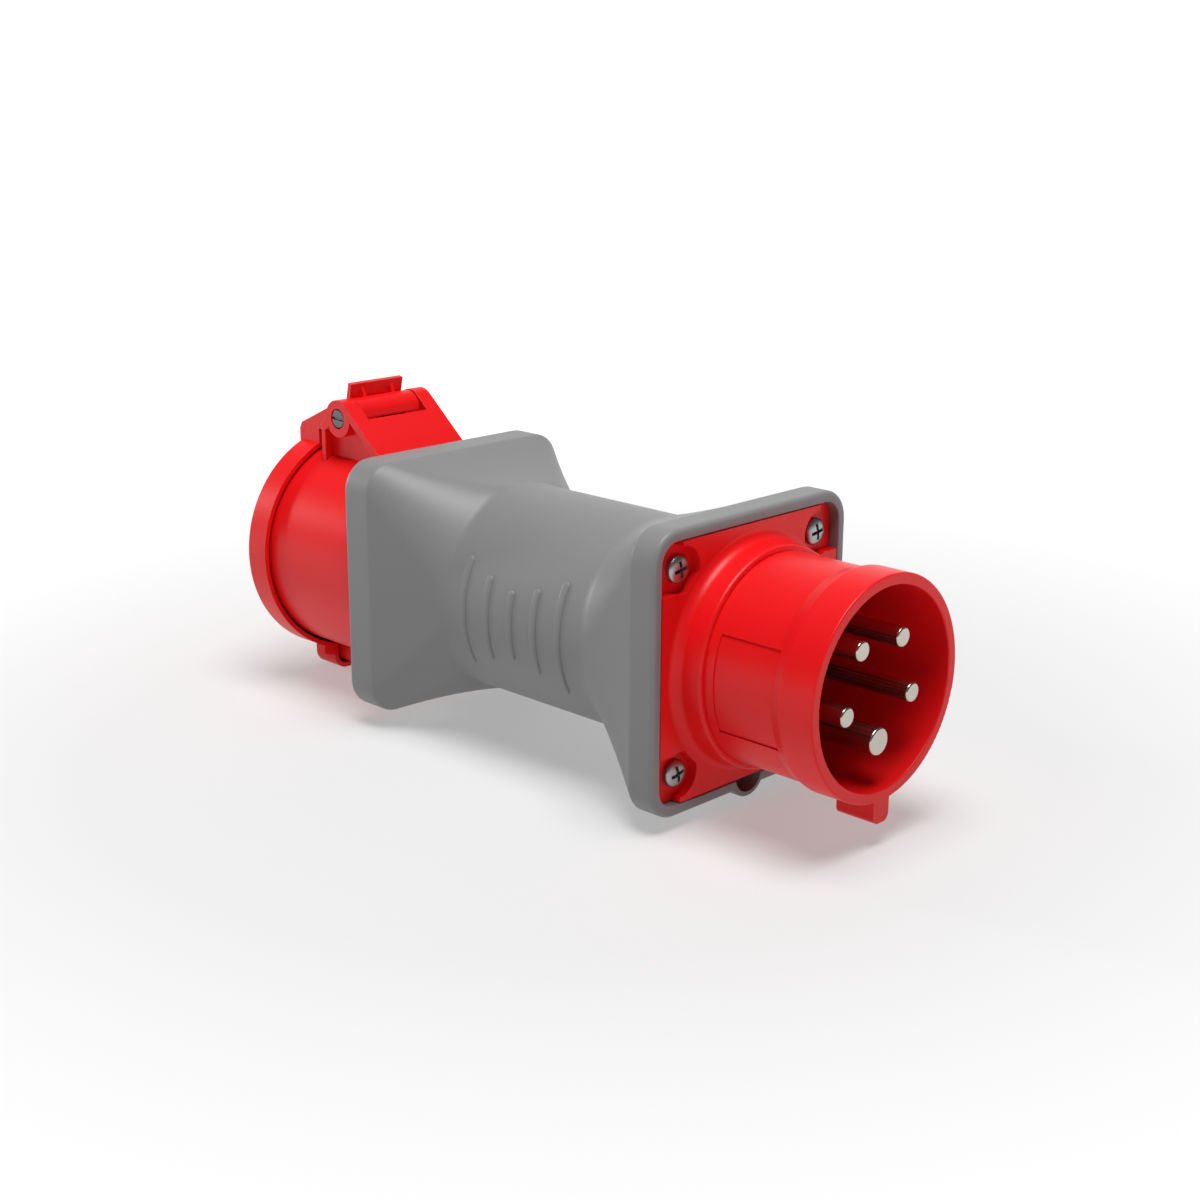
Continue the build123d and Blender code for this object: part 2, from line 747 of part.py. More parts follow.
def make_socket_insert():
    barrel = rod(socket_r, socket_mouth_x, socket_plate_x)
    body = barrel + bulge(cover_half_width, cover_drop, cover_round, socket_mouth_x,
                          socket_mouth_x + cover_length)
    body += make_bracket()
    body += flange_plate(socket_plate_half, socket_screw_place, socket_plate_x, 1)
    body += rod(socket_tail_r, socket_plate_back_x, socket_plate_back_x + socket_tail_length)
    body -= rod(socket_bore_r, socket_mouth_x, floor_x)
    body -= rod(core_r + carrier_gap, floor_x, web_back_x)
    body -= rod(socket_tail_r - socket_tail_wall, web_back_x,
                socket_plate_back_x + socket_tail_length)
    body -= block((socket_mouth_x, socket_mouth_x + keyway_length), (-half_keyway, half_keyway),
                  (-keyway_drop, root_overlap - socket_bore_r))
    return keep_one(body)


def lid_skirt():
    """The lid's round cap with its keyway cover and its lifting lip."""
    inner_r = socket_r + lid_clearance
    inner_x = lid_face_x + lid_wall
    cover_wall = lid_r - inner_r
    cap = turned([(lid_edge_x, 0), (lid_edge_x, lid_r), (lid_face_x + lid_edge, lid_r),
                  (lid_face_x, lid_r - lid_edge), (lid_face_x, 0)])
    outer_half = cover_half_width + lid_clearance + cover_wall
    outer_drop = cover_drop + lid_clearance + cover_wall
    cap += bulge(outer_half, outer_drop, cover_round + cover_wall, lid_face_x, lid_edge_x)
    lip = rod(lip_r, lid_edge_x, lid_edge_x - lip_thick)
    cap += lip & block((lid_edge_x, lid_edge_x - lip_thick), (-lip_half_width, lip_half_width),
                       (-lip_r, -socket_bore_r / 2))
    cap -= rod(inner_r, inner_x, lid_edge_x)
    cap -= bulge(cover_half_width + lid_clearance, cover_drop + lid_clearance, cover_round, inner_x,
                 lid_edge_x)
    return cap - rod(lid_r - lid_panel_inset, lid_face_x, lid_face_x + lid_panel_depth)


def lid_arm():
    """The arm from the cap's top to the hinge barrel, wide over the cap and narrow at the ears."""
    slope = radians(arm_slope)
    top = (hinge_x - barrel_r * sin(slope), hinge_z + barrel_r * cos(slope))
    front_x = lid_face_x + arm_front_round * sin(slope)
    front_z = top[1] - (top[0] - front_x) * sin(slope) / cos(slope)
    inner_r = socket_r + lid_clearance
    root = inner_r - lid_wall
    side = [(lid_face_x, root), (lid_face_x, inner_r + arm_front_rise), (front_x, front_z), top,
            (hinge_x, hinge_z), (hinge_x, hinge_z - barrel_r), (lid_edge_x, inner_r + arm_rise),
            (lid_edge_x, root)]
    narrow = cheek_half_gap - barrel_end_gap
    arm = side_prism(side, -narrow, narrow)
    narrow_x = hinge_x - arm_narrow_x
    wide = side_prism(side, -arm_half_width, arm_half_width)
    arm += wide & block((lid_face_x, narrow_x), (-arm_half_width, arm_half_width),
                        (0, hinge_z + barrel_r))
    arm -= rod(inner_r, lid_face_x + lid_wall, lid_edge_x)
    return arm + cross_rod(barrel_r, -narrow, narrow, hinge_x, hinge_z)


def thumb_tab():
    """The ribbed tab that stands on the hinge barrel."""
    lean = atan2(tab_tip[0] - tab_base[0], tab_tip[1] - tab_base[1])
    back = (-tab_thick * cos(lean), tab_thick * sin(lean))
    face = [tab_base, tab_tip]
    outline = face + [(x + back[0], z + back[1]) for x, z in reversed(face)]
    tab = side_prism([(hinge_x + x, hinge_z + z) for x, z in outline], -tab_half_width,
                     tab_half_width)
    rib_top_x = tab_base[0] + (tab_rib_top - tab_base[1]) * sin(lean) / cos(lean)
    gusset = [tab_base, (rib_top_x, tab_rib_top), (tab_base[0] + tab_rib_reach, tab_base[1])]
    for side in (1, -1):
        place = side * tab_rib_place
        tab += side_prism([(hinge_x + x, hinge_z + z) for x, z in gusset],
                          place - tab_rib_width / 2, place + tab_rib_width / 2)
    return tab


def make_lid():
    body = lid_skirt() + lid_arm() + thumb_tab()
    narrow = cheek_half_gap - barrel_end_gap
    body -= cross_rod(hinge_pin_r + barrel_hole_gap, -narrow, narrow, hinge_x, hinge_z)
    pocket = spring_pocket_half
    body -= cross_rod(spring_pocket_r, -pocket, pocket, hinge_x, hinge_z)
    body -= block((hinge_x - spring_slot_reach, hinge_x + barrel_r), (-pocket, pocket),
                  (hinge_z - barrel_r, hinge_z))
    tang_hole = spring_wire_r + spring_tang_gap
    body -= cross_rod(tang_hole, pocket, pocket + spring_tang, hinge_x + spring_bend_r,
                      hinge_z + spring_coil_r)
    return keep_one(body)


def make_lid_seal():
    """The rubber ring in the lid that meets the barrel's mouth and its keyway."""
    outer_r = socket_r + lid_clearance - seal_inset
    inner_r = socket_bore_r - seal_bore_gap
    front_x = lid_face_x + lid_wall
    back_x = front_x + seal_thick
    outer_half = cover_half_width + lid_clearance - seal_inset
    seal = rod(outer_r, front_x, back_x)
    seal += bulge(outer_half, cover_drop + lid_clearance - seal_inset, cover_round, front_x, back_x)
    seal -= rod(inner_r, front_x, back_x)
    seal -= block((front_x, back_x), (-half_keyway, half_keyway), (-keyway_drop, root_overlap - inner_r))
    return keep_one(seal)


def make_hinge_pin():
    half = bracket_half_width
    head_y = -half + pin_head_recess
    pin = cross_rod(hinge_pin_r, head_y + pin_head_thick, half - pin_tail_setback, hinge_x, hinge_z)
    pin += cross_rod(pin_head_r, head_y, head_y + pin_head_thick, hinge_x, hinge_z)
    pin -= block((hinge_x - pin_head_r, hinge_x + pin_head_r), (head_y, head_y + pin_slot_depth),
                 (hinge_z - pin_slot_width / 2, hinge_z + pin_slot_width / 2))
    return keep_one(pin)


def make_spring():
    """The torsion spring: one wire that bears on the cross wall, coils round the pin and ends in
    a tang along Y inside the lid's barrel."""
    leg_x = socket_mouth_x + wall_back_setback + spring_wire_r + spring_leg_gap - hinge_x
    leg_reach = sqrt(leg_x ** 2 + spring_leg_drop ** 2)
    leg_turn = atan2(-spring_leg_drop, leg_x) + 2 * pi - acos(spring_coil_r / leg_reach)
    height = (spring_turns + (leg_turn - pi / 2) / (2 * pi)) * spring_pitch
    coil = Helix(spring_pitch, height, spring_coil_r)
    leg_run = (coil % 0) * sqrt(leg_reach ** 2 - spring_coil_r ** 2)
    leg_end = (coil @ 0) - leg_run
    ahead, along = coil % 1, Vector(0, 0, 1)
    aside = (along - ahead * ahead.Z).normalized()
    bend_turn = acos(ahead.Z)
    turns = (bend_turn / 2, bend_turn)
    bend = [(coil @ 1) + aside * spring_bend_r * (1 - cos(a)) + ahead * spring_bend_r * sin(a)
            for a in turns]
    tang_end = bend[1] + along * spring_tang
    path = Wire([Edge.make_line(leg_end, coil @ 0), coil.edge(),
                 Edge.make_three_point_arc(coil @ 1, *bend), Edge.make_line(bend[1], tang_end)])
    spring = sweep(Plane(origin=leg_end, z_dir=leg_run) * Circle(spring_wire_r), path=path)
    seat = Plane(origin=(hinge_x, -height / 2, hinge_z), x_dir=(cos(leg_turn), 0, sin(leg_turn)),
                 z_dir=(0, 1, 0)).location
    return keep_one(seat * spring)


def terminal_screws(face_x, direction):
    screws = []
    for name, angle in poles.items():
        _, terminal = pole_sizes(name)
        screws.append(terminal_screw(face_x, direction, angle, terminal))
    return Compound(screws)


parts = {
    "housing": make_housing(),
    "plug_insert": make_plug_insert(),
    "plug_contact_carrier": make_plug_carrier(),
    "plug_flange_gasket": make_gasket(plug_plate_half, plug_screw_place,
                                      shroud_body_r + tail_clearance, plate_back_x, plug_ledge_x),
    "plug_flange_screws": flange_screws(plate_x - pocket_depth, plug_screw_place, -1),
    "plug_terminal_screws": terminal_screws(plug_terminal_x, -1),
    "socket_insert": make_socket_insert(),
    "socket_contact_carrier": make_socket_carrier(),
    "socket_core": make_socket_core(),
    "socket_face": make_socket_face(),
    "socket_flange_gasket": make_gasket(socket_plate_half, socket_screw_place,
                                        socket_tail_r + tail_clearance, socket_plate_back_x,
                                        socket_ledge_x),
    "socket_flange_screws": flange_screws(socket_plate_x + pocket_depth, socket_screw_place, 1),
    "socket_terminal_screws": terminal_screws(socket_terminal_x, 1),
    "lid": make_lid(),
    "lid_seal": make_lid_seal(),
    "hinge_pin": make_hinge_pin(),
}
parts["lid_spring"] = make_spring()
for pole in poles:
    parts["pin_" + pole] = make_pin(pole)
    parts["sleeve_" + pole] = make_sleeve(pole)
    parts["wire_" + pole], wire_bends = make_wire(pole)
    print("wire", pole, "bend radii", [round(bend, 1) for bend in wire_bends])

os.makedirs("parts", exist_ok=True)
for node, shape in parts.items():
    export_step(shape, "parts/" + node + ".step")
print(len(parts), "nodes written")
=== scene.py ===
from math import asin, cos, pi, radians, sin

import bmesh
import bpy
from mathutils import Matrix, Vector


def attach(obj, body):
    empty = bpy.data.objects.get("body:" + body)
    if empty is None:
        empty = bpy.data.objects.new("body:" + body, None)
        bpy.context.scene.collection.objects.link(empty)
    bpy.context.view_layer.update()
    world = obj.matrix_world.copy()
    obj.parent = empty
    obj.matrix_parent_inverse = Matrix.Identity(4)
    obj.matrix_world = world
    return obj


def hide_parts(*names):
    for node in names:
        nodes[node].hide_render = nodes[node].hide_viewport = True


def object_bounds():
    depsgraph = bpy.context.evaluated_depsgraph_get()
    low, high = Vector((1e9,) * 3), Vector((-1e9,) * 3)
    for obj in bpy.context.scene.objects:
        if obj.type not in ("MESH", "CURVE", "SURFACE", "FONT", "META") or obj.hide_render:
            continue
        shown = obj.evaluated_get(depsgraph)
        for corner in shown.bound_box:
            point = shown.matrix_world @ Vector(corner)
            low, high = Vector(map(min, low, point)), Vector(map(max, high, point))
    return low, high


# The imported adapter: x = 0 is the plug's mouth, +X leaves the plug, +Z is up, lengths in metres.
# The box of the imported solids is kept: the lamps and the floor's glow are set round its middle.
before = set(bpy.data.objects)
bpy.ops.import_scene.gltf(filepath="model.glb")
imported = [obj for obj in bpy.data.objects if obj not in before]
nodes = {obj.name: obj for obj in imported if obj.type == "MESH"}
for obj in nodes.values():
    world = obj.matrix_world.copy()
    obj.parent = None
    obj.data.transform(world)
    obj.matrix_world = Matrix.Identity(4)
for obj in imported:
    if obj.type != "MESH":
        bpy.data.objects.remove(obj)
cad_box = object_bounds()
scene = bpy.context.scene

# The photograph's camera: it looks at the plug's near side, slightly from above. Its place, turn
# and lens were fitted to the photograph, with the plug's mouth at 56 mm across.
azimuth, elevation, roll = radians(44.455), radians(16.415), radians(0.234)
camera_place = (0.24835, -0.34890, 0.14619)
lens_mm, sensor_mm = 57.42, 36.0
ahead = Vector((-cos(elevation) * sin(azimuth), cos(elevation) * cos(azimuth), -sin(elevation)))
level_right = Vector((cos(azimuth), sin(azimuth), 0.0))
level_up = level_right.cross(ahead)
camera_right = level_right * cos(roll) + level_up * sin(roll)
camera_up = level_up * cos(roll) - level_right * sin(roll)
camera_data = bpy.data.cameras.new("photo_camera")
camera_data.lens = lens_mm
camera_data.sensor_width = sensor_mm
camera = bpy.data.objects.new("photo_camera", camera_data)
camera.matrix_world = Matrix((camera_right, camera_up, -ahead)).transposed().to_4x4()
camera.matrix_world.translation = camera_place
scene.collection.objects.link(camera)
scene.camera = camera

# The photographer's table and lights: a pale floor that glows more away from the adapter, white
# paper behind it and round the horizon, a broad soft lamp overhead and a small one at the left.
floor_height = -0.0397
floor_reach = 12.0
floor_tone, floor_roughness = 0.4, 0.8
floor_glow, glow_span = (0.36, 1.04), (0.13, 0.66)
room_light, paper_light = 0.07, 1.04
paper_turn, paper_band = (0.3, 0.85), (0.02, 0.12)
key_way, key_distance, key_size, key_power = Vector((0.15, -0.1, 0.97)), 1.1, 0.7, 15.0
side_way, side_distance, side_size, side_power = Vector((-0.93, -0.26, 0.2)), 0.9, 0.12, 1.8
scene.view_settings.view_transform = "Standard"
scene.view_settings.look = "None"
middle = (cad_box[0] + cad_box[1]) / 2


class Maths:
    """Writes a node tree's arithmetic in one line each."""

    def __init__(self, tree, kind="ShaderNodeMath"):
        self.tree = tree
        self.kind = kind

    def do(self, operation, *values):
        """One step of arithmetic on numbers or on other steps' results."""
        node = self.tree.nodes.new(self.kind)
        node.operation = operation
        for socket, value in zip(node.inputs, values):
            if isinstance(value, bpy.types.NodeSocket):
                self.tree.links.new(value, socket)
            else:
                socket.default_value = value
        return node.outputs["Value" if "Value" in node.outputs else 0]


def mapped(tree, value, span, results):
    """A value turned from one span into another, and kept inside it."""
    node = tree.nodes.new("ShaderNodeMapRange")
    for label, number in zip(("From Min", "From Max", "To Min", "To Max"), span + results):
        node.inputs[label].default_value = number
    tree.links.new(value, node.inputs["Value"])
    return node.outputs["Result"]


def lamp(name, way, distance, size, power):
    """A round soft lamp that points at the middle of the adapter."""
    light = bpy.data.lights.new(name, "AREA")
    light.shape = "DISK"
    light.size = size
    light.energy = power
    stand = bpy.data.objects.new(name, light)
    stand.location = middle + way.normalized() * distance
    stand.rotation_euler = way.to_track_quat("Z", "Y").to_euler()
    scene.collection.objects.link(stand)


floor_mesh = bpy.data.meshes.new("pale_floor")
floor_mesh.from_pydata([(x * floor_reach, y * floor_reach, floor_height)
                        for x, y in ((-1, -1), (1, -1), (1, 1), (-1, 1))], [], [(0, 1, 2, 3)])
floor_paint = bpy.data.materials.new("pale_floor")
floor_paint.use_nodes = True
floor_tree = floor_paint.node_tree
floor_surface = floor_tree.nodes["Principled BSDF"]
floor_surface.inputs["Base Color"].default_value = (floor_tone, floor_tone, floor_tone, 1.0)
floor_surface.inputs["Roughness"].default_value = floor_roughness
floor_surface.inputs["Emission Color"].default_value = (1.0, 1.0, 1.0, 1.0)
floor_place = floor_tree.nodes.new("ShaderNodeTexCoord").outputs["Object"]
away = Maths(floor_tree, "ShaderNodeVectorMath").do(
    "DISTANCE", floor_place, (middle.x, middle.y, floor_height))
floor_tree.links.new(mapped(floor_tree, away, glow_span, floor_glow),
                     floor_surface.inputs["Emission Strength"])
floor_mesh.materials.append(floor_paint)
floor = bpy.data.objects.new("pale_floor", floor_mesh)
scene.collection.objects.link(floor)

world = bpy.data.worlds.new("white_surroundings")
world.use_nodes = True
sky = world.node_tree
way_out = sky.nodes.new("ShaderNodeTexCoord").outputs["Generated"]
split = sky.nodes.new("ShaderNodeSeparateXYZ")
sky.links.new(way_out, split.inputs[0])
ahead_share = Maths(sky, "ShaderNodeVectorMath").do("DOT_PRODUCT", way_out, ahead)
behind = mapped(sky, ahead_share, paper_turn, (room_light, paper_light))
height = Maths(sky).do("ABSOLUTE", split.outputs["Z"])
around = mapped(sky, height, paper_band, (paper_light, room_light))
sky.links.new(Maths(sky).do("MAXIMUM", behind, around),
              sky.nodes["Background"].inputs["Strength"])
sky.nodes["Background"].inputs["Color"].default_value = (1.0, 1.0, 1.0, 1.0)
scene.world = world

lamp("key_lamp", key_way, key_distance, key_size, key_power)
lamp("side_lamp", side_way, side_distance, side_size, side_power)


# Housing: one satin grey moulding with a square rimmed flange at each end, flares, a round waist
# and a half-round lug. Its skin follows rounded squares that turn into the waist's circle, and its
# plastic gets the uneven tone, the uneven gloss and the faint grain of the mould from one group.
cloud_per_metre, grain_per_metre = 38.0, 2200.0
plastic_tone_variation, plastic_gloss_variation = 0.04, 0.06


def new_skin(name, sizes):
    """A shader group with a colour and named sizes in, and a colour, gloss and height out."""
    group = bpy.data.node_groups.new(name, "ShaderNodeTree")
    face = group.interface
    face.new_socket("Colour", in_out="INPUT", socket_type="NodeSocketColor")
    for label, value in sizes:
        face.new_socket(label, in_out="INPUT", socket_type="NodeSocketFloat").default_value = value
    face.new_socket("Colour", in_out="OUTPUT", socket_type="NodeSocketColor")
    for label in ("Roughness", "Height"):
        face.new_socket(label, in_out="OUTPUT", socket_type="NodeSocketFloat")
    return group, group.nodes.new("NodeGroupInput"), group.nodes.new("NodeGroupOutput")


def noise(group, place, scale, detail):
    """Soft random values at a place, with a number or another value as their scale."""
    node = group.nodes.new("ShaderNodeTexNoise")
    node.inputs["Detail"].default_value = detail
    group.links.new(place, node.inputs["Vector"])
    if isinstance(scale, bpy.types.NodeSocket):
        group.links.new(scale, node.inputs["Scale"])
    else:
        node.inputs["Scale"].default_value = scale
    return node.outputs["Fac"]


def toned(group, entry, tone):
    """The group's colour, made lighter and darker by its tone variation."""
    colour = group.nodes.new("ShaderNodeVectorMath")
    colour.operation = "SCALE"
    shade = Maths(group).do("MULTIPLY_ADD", tone, entry.outputs["Tone variation"], 1.0)
    group.links.new(entry.outputs["Colour"], colour.inputs[0])
    group.links.new(shade, colour.inputs["Scale"])
    return colour.outputs["Vector"]


def moulded_skin():
    """The shader group that every moulded plastic and rubber shares."""
    group, entry, leave = new_skin("moulded_skin", (
        ("Tone variation", plastic_tone_variation), ("Roughness", 0.4),
        ("Gloss variation", plastic_gloss_variation), ("Grain per metre", grain_per_metre)))
    link, m = group.links.new, Maths(group)
    place = group.nodes.new("ShaderNodeTexCoord").outputs["Object"]
    tone = m.do("SUBTRACT", noise(group, place, cloud_per_metre, detail=3.0), 0.5)
    link(toned(group, entry, tone), leave.inputs["Colour"])
    link(m.do("MULTIPLY_ADD", tone, entry.outputs["Gloss variation"], entry.outputs["Roughness"]),
         leave.inputs["Roughness"])
    link(noise(group, place, entry.outputs["Grain per metre"], detail=2.0),
         leave.inputs["Height"])
    return group


def skinned_material(name, skin, colour, roughness, height):
    """A material whose colour, gloss and relief come from a shared shader group."""
    material = bpy.data.materials.new(name)
    material.use_nodes = True
    tree, link = material.node_tree.nodes, material.node_tree.links.new
    surface = tree["Principled BSDF"]
    touch = tree.new("ShaderNodeGroup")
    touch.node_tree = skin
    touch.inputs["Colour"].default_value = (*colour, 1.0)
    touch.inputs["Roughness"].default_value = roughness
    bump = tree.new("ShaderNodeBump")
    bump.inputs["Distance"].default_value = height
    link(touch.outputs["Height"], bump.inputs["Height"])
    link(touch.outputs["Colour"], surface.inputs["Base Color"])
    link(touch.outputs["Roughness"], surface.inputs["Roughness"])
    link(bump.outputs["Normal"], surface.inputs["Normal"])
    return material, surface


plastic_skin = moulded_skin()


def moulded_material(name, colour, roughness, grain_height, specular):
    """A plastic or rubber in this colour, under the shared moulded skin."""
    material, surface = skinned_material(name, plastic_skin, colour, roughness, grain_height)
    surface.inputs["Specular IOR Level"].default_value = specular
    return material


grey_plastic = moulded_material("grey_plastic", colour=(0.212, 0.212, 0.215), roughness=0.46,
                                grain_height=0.000012, specular=0.4)
waist_r = 0.02881
waist_ends = (-0.0723, -0.12435)
plug_rim = (-0.04107, -0.04867, 0.03612)
socket_rim = (-0.15725, -0.14735, 0.03535)
plug_bow, plug_fan = 1.36, 0.92
socket_bow, socket_fan = 1.62, 0.71
rim_corner, rim_edge, rim_crease = 0.0083, 0.0012, 0.0003
rim_wall = 0.00285
shell_wall = 0.003
flare_ease = 0.00012
ledges = (-0.04777, -0.15055)
ledge_openings = (0.02735, 0.0289)
points_per_eighth = 22
crease_steps, edge_steps = 3, 6
flare_start, flare_overlap = 0.002, 0.001
plug_flare_steps, waist_steps, socket_flare_steps, inner_steps = 64, 30, 68, 50


def rounded_square(half, corner):
    """Points round a square with rounded corners, evenly spaced along each eighth of it."""
    flat = half - corner
    eighth = flat + corner * pi / 4
    run = []
    for step in range(points_per_eighth + 1):
        along = eighth * step / points_per_eighth
        if along < flat:
            run.append((half, along))
        else:
            turn = (along - flat) / corner
            run.append((flat + corner * cos(turn), flat + corner * sin(turn)))
    quarter = run[:-1] + [(b, a) for a, b in reversed(run[1:])]
    outline = []
    for turns in range(4):
        c, s = (1, 0, -1, 0)[turns], (0, 1, 0, -1)[turns]
        outline += [(a * c - b * s, a * s + b * c) for a, b in quarter]
    return outline


def flare_size(x):
    """The half width and the corner radius of the housing's skin at a place along it."""
    if x > waist_ends[0]:
        end, rim, bow, fan = waist_ends[0], plug_rim, plug_bow, plug_fan
    elif x < waist_ends[1]:
        end, rim, bow, fan = waist_ends[1], socket_rim, socket_bow, socket_fan
    else:
        return waist_r, waist_r
    share = min(1.0, (x - end) / (rim[1] - end))
    half = waist_r + (rim[2] - waist_r) * share ** bow
    return half, waist_r + (rim_corner - waist_r) * share ** fan


def soft_flare_size(x):
    """The same, eased over a short way, as the mould's polished corners are."""
    sizes = [flare_size(x + shift * flare_ease) for shift in range(-3, 4)]
    return tuple(sum(size[n] for size in sizes) / len(sizes) for n in (0, 1))


def steps(start, end, count):
    """Evenly spaced numbers from start to end."""
    return [start + (end - start) * n / count for n in range(count + 1)]


def rim_loops(front, half, ledge, opening, inward):
    """Loops from the ledge's opening out over the rim's rounded front edge to its side."""
    seat, seat_corner = half - rim_wall, rim_corner - rim_wall
    loops = [(ledge + inward * shell_wall, opening, opening), (ledge, opening, opening),
             (ledge, seat, seat_corner), (front + inward * rim_crease, seat, seat_corner)]
    loops += [(front + inward * rim_crease * (1 - sin(a)), seat + rim_crease * (1 - cos(a)),
               seat_corner + rim_crease * (1 - cos(a)))
              for a in steps(pi / 8, pi / 2, crease_steps)]
    loops += [(front + inward * rim_edge * (1 - cos(a)), half - rim_edge * (1 - sin(a)),
               rim_corner - rim_edge * (1 - sin(a))) for a in steps(0, pi / 2, edge_steps)]
    return loops


def housing_skin():
    """A closed shell: in at one ledge, over the outside, in at the other and back inside."""
    outer = rim_loops(plug_rim[0], plug_rim[2], ledges[0], ledge_openings[0], -1)
    places = steps(plug_rim[0] - flare_start, waist_ends[0] + flare_overlap, plug_flare_steps)
    places += steps(waist_ends[0], waist_ends[1], waist_steps)
    places += steps(waist_ends[1] - flare_overlap, socket_rim[0] + flare_start,
                    socket_flare_steps)
    outer += [(x, *soft_flare_size(x)) for x in places]
    outer += rim_loops(socket_rim[0], socket_rim[2], ledges[1], ledge_openings[1], 1)[::-1]
    inner_places = steps(ledges[1] + shell_wall, ledges[0] - shell_wall, inner_steps)
    inner = []
    for x in inner_places:
        half, corner = flare_size(x)
        inner.append((x, half - shell_wall, corner - shell_wall))
    return outer + inner


def loop_mesh(name, loops, outline, is_ring=True):
    """A skin of quads through loops of (x, size...), each drawn by the outline function. A ring's
    last loop meets its first; otherwise both ends are capped."""
    shape = bmesh.new()
    rings = []
    for x, *sizes in loops:
        rings.append([shape.verts.new((x, y, z)) for y, z in outline(*sizes)])
    if not is_ring:
        shape.faces.new(rings[0])
        shape.faces.new(rings[-1])
    for ring, following in zip(rings, rings[1:] + rings[:1] * is_ring):
        for n in range(len(ring)):
            after = (n + 1) % len(ring)
            shape.faces.new((ring[n], ring[after], following[after], following[n]))
    bmesh.ops.remove_doubles(shape, verts=shape.verts, dist=1e-7)
    bmesh.ops.recalc_face_normals(shape, faces=shape.faces)
    mesh = bpy.data.meshes.new(name)
    shape.to_mesh(mesh)
    shape.free()
    return mesh


def finished(name, mesh, material, body, *stands_for, crease=35.0):
    """The mesh as a piece with its finish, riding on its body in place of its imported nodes."""
    mesh.materials.clear()
    mesh.materials.append(material)
    mesh.polygons.foreach_set("use_smooth", [True] * len(mesh.polygons))
    mesh.polygons.foreach_set("material_index", [0] * len(mesh.polygons))
    mesh.set_sharp_from_angle(angle=radians(crease))
    piece = bpy.data.objects.new(name, mesh)
    scene.collection.objects.link(piece)
    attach(piece, body)
    if stands_for:
        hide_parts(*stands_for)
    return piece


def combined(name, mesh, other, operation):
    """One mesh from two: their union, or the first with the second cut away."""
    first, second = (bpy.data.objects.new(name, shape) for shape in (mesh, other))
    scene.collection.objects.link(first)
    scene.collection.objects.link(second)
    modifier = first.modifiers.new(name, "BOOLEAN")
    modifier.operation = operation
    modifier.object = second
    result = bpy.data.meshes.new_from_object(
        first.evaluated_get(bpy.context.evaluated_depsgraph_get()))
    bpy.data.objects.remove(first)
    bpy.data.objects.remove(second)
    return result


# Lug: the half-round boss under the plug flange, one moulding with the housing, with a pocket
# that is open to the front and, above, to the seat of the red plate.
lug_r, lug_pocket_r, lug_edge = 0.0062, 0.0049, 0.0005
lug_z, lug_top, lug_pocket_top = -0.03232, -0.0345, -0.03297
lug_length, lug_pocket_depth = 0.007, 0.0055
lug_back, lug_pocket_back = plug_rim[0] - lug_length, plug_rim[0] - lug_pocket_depth
half_round_steps, lug_edge_steps = 48, 5


def low_half_round(radius, top):
    """Points round the part of the lug's circle that lies below a level."""
    start = asin((lug_z - top) / radius)
    return [(radius * cos(a), lug_z + radius * sin(a))
            for a in steps(-start, start - pi, half_round_steps)]


lug_loops = [(plug_rim[0] - lug_edge * (1 - sin(a)), lug_r - lug_edge * (1 - cos(a)), lug_top)
             for a in steps(pi / 2, 0, lug_edge_steps)]
lug_loops += [(lug_back + lug_edge * (1 - sin(a)), lug_r - lug_edge * (1 - cos(a)), lug_top)
              for a in steps(0, pi / 2, lug_edge_steps)]
pocket_loops = [(x, lug_pocket_r, lug_pocket_top)
                for x in (plug_rim[0] + lug_edge, lug_pocket_back)]
shell = loop_mesh("housing_shell", housing_skin(), rounded_square)
shell = combined("shell", shell, loop_mesh("lug", lug_loops, low_half_round, False), "UNION")
shell = combined("shell", shell, loop_mesh("pocket", pocket_loops, low_half_round, False),
                 "DIFFERENCE")
housing = finished("housing_shell", shell, grey_plastic, "body", "housing", crease=40.0)

# Grip ribs: five raised ribs on each side of the waist, part of the same grey moulding. One tree
# bends a strip round the waist, swells it across and tapers both of its ends. A second strip, sunk
# in the waist, closes each rib from below.
rib_places = ((-0.1166, 31.0), (-0.1077, 23.5), (-0.0988, 19.0), (-0.0899, 23.5), (-0.081, 31.0))
rib_width, rib_height, rib_root = 0.0025, 0.0006, 0.0006
rib_sink, rib_swell, rib_end_swell = 0.00003, 2.2, 0.7
rib_points_along, rib_points_across = 97, 25
closing_distance = 0.00001


def new_tree(name, sizes):
    """A Geometry Nodes tree with a geometry output and one named input for each size."""
    tree = bpy.data.node_groups.new(name, "GeometryNodeTree")
    tree.interface.new_socket("Geometry", in_out="OUTPUT", socket_type="NodeSocketGeometry")
    for label, kind in sizes:
        tree.interface.new_socket(label, in_out="INPUT", socket_type=kind)
    return tree, tree.nodes.new("NodeGroupInput"), tree.nodes.new("NodeGroupOutput")


def grown(name, tree, values):
    """The mesh that a tree makes with these values for its named inputs."""
    seed_mesh = bpy.data.meshes.new(name + "_start")
    holder = bpy.data.objects.new(name + "_start", seed_mesh)
    scene.collection.objects.link(holder)
    modifier = holder.modifiers.new(name, "NODES")
    modifier.node_group = tree
    for socket in tree.interface.items_tree:
        if socket.in_out == "INPUT" and socket.name in values:
            modifier[socket.identifier] = values[socket.name]
    seen = holder.evaluated_get(bpy.context.evaluated_depsgraph_get())
    mesh = bpy.data.meshes.new_from_object(seen)
    mesh.name = name
    bpy.data.objects.remove(holder)
    bpy.data.meshes.remove(seed_mesh)
    return mesh


